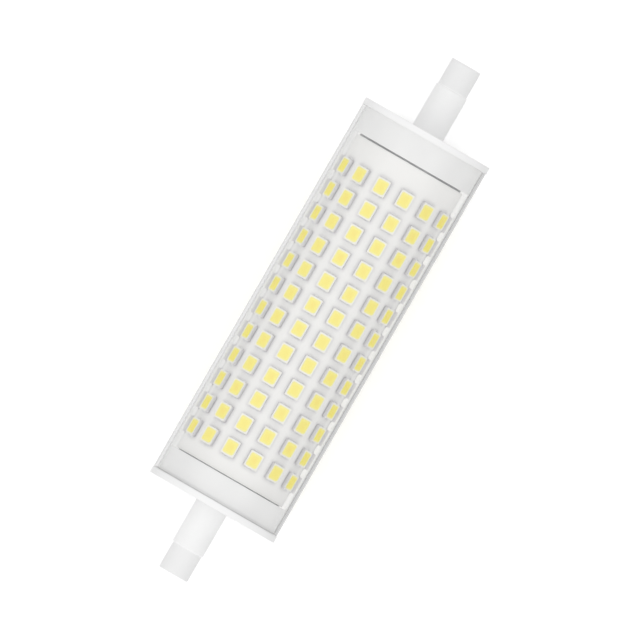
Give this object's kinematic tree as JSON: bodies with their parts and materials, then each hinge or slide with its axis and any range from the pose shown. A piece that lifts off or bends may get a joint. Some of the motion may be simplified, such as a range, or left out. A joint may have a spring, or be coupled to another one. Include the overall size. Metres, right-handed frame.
{
  "type": "linear led bulb",
  "caption": "Double-ended linear lamp: rows of yellow phosphor LEDs on a white rolled board inside a clear tube, white end caps, and a round stepped contact post at each end.",
  "frame": {"origin": "middle of the lamp, on its axis", "axes": "+X along the lamp's axis, +Z towards the front, opposite the board's seam, +Y completes the frame"},
  "size_m": [0.118, 0.0286, 0.0286],
  "materials": {
    "clear_plastic": "clear, polished",
    "white_cap": "satin white moulding",
    "white_base": "fine matte white insulator",
    "nickel": "nickel plated brass",
    "wire_sleeve": "white silicone sleeving",
    "bare_aluminium": "drawn tube, satin",
    "white_mask": "white solder mask",
    "led_white": "white moulded housing",
    "phosphor": "yellow phosphor in silicone",
    "tinned_pin": "tinned brass",
    "insulating_film": "thin milky film",
    "green_mask": "green solder mask",
    "fuse_body": "lacquered ceramic rod",
    "film_body": "moulded yellow box",
    "can_sleeve": "dark shrink sleeve",
    "ferrite": "sintered ferrite",
    "black_epoxy": "black epoxy moulding",
    "chip_ceramic": "coated ceramic chip"
  },
  "bodies": {
    "root": {"clear_tube": "clear_plastic", "end_caps": "white_cap", "lamp_bases": "white_base", "contacts": "nickel", "contact_leads": "wire_sleeve", "heat_sink_tube": "bare_aluminium", "led_board": "white_mask", "led_housings": "led_white", "led_phosphors": "phosphor", "positive_pin": "tinned_pin", "negative_pin": "tinned_pin", "driver_sleeve": "insulating_film", "driver_board": "green_mask", "fuse_resistor": "fuse_body", "film_capacitor": "film_body", "bulk_capacitor": "can_sleeve", "choke": "ferrite", "output_capacitor": "can_sleeve", "bridge_rectifier": "black_epoxy", "driver_chip": "black_epoxy", "output_diode": "black_epoxy", "sense_resistors": "chip_ceramic"}
  },
  "joints": []
}
